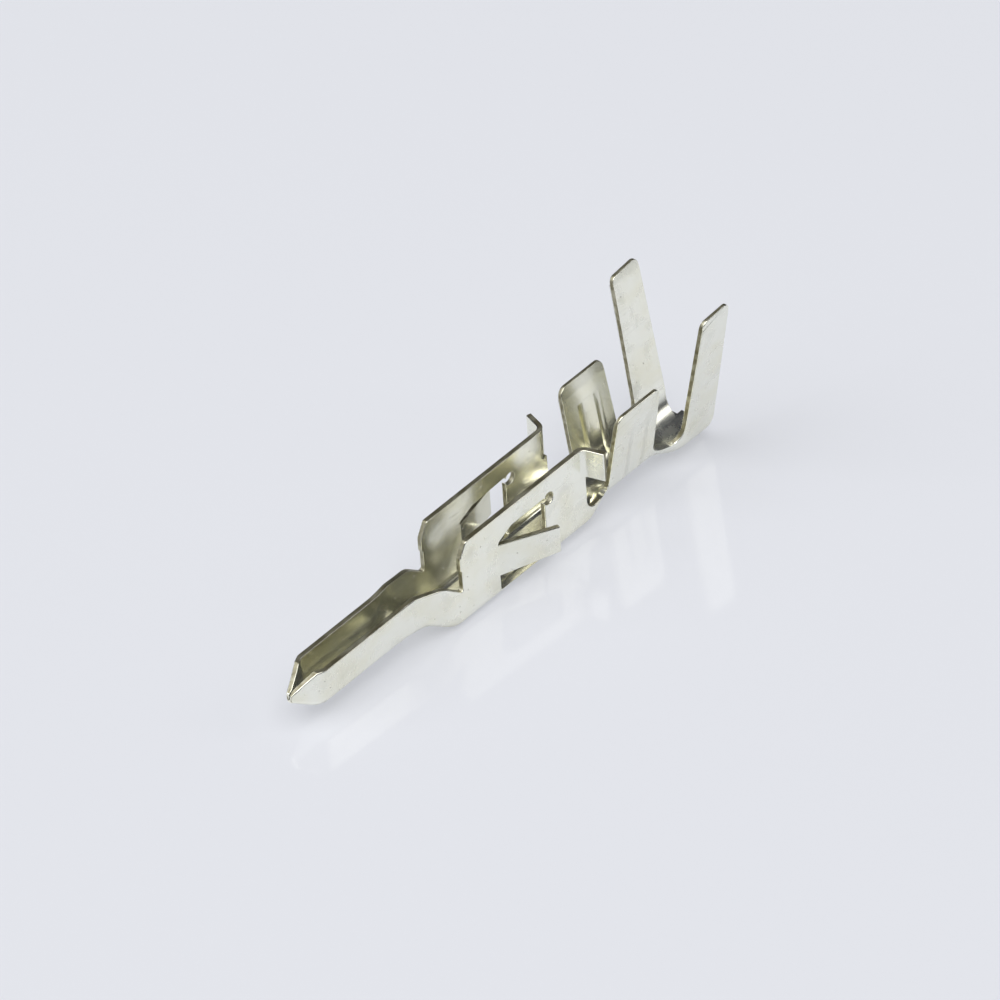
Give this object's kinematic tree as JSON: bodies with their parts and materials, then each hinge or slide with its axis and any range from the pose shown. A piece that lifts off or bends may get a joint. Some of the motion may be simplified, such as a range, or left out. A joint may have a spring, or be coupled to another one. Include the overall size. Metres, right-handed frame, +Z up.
{
  "type": "crimp contact",
  "caption": "Folded sheet-metal pin contact with a channel-shaped body, sprung locking tangs, and open wings that are crimped round a wire.",
  "frame": {"origin": "middle of the contact's box in plan, on the surface that it lies on", "axes": "+X from the tip of the pin to the wire end, +Z up, with the crimp wings open upwards; the walls are alike about Y = 0"},
  "size_m": [0.0204, 0.0042, 0.0064],
  "materials": {
    "plated_sheet": "tin plated, satin, with a bare olive-brown cut edge"
  },
  "bodies": {
    "root": {"contact": "plated_sheet"}
  },
  "joints": []
}
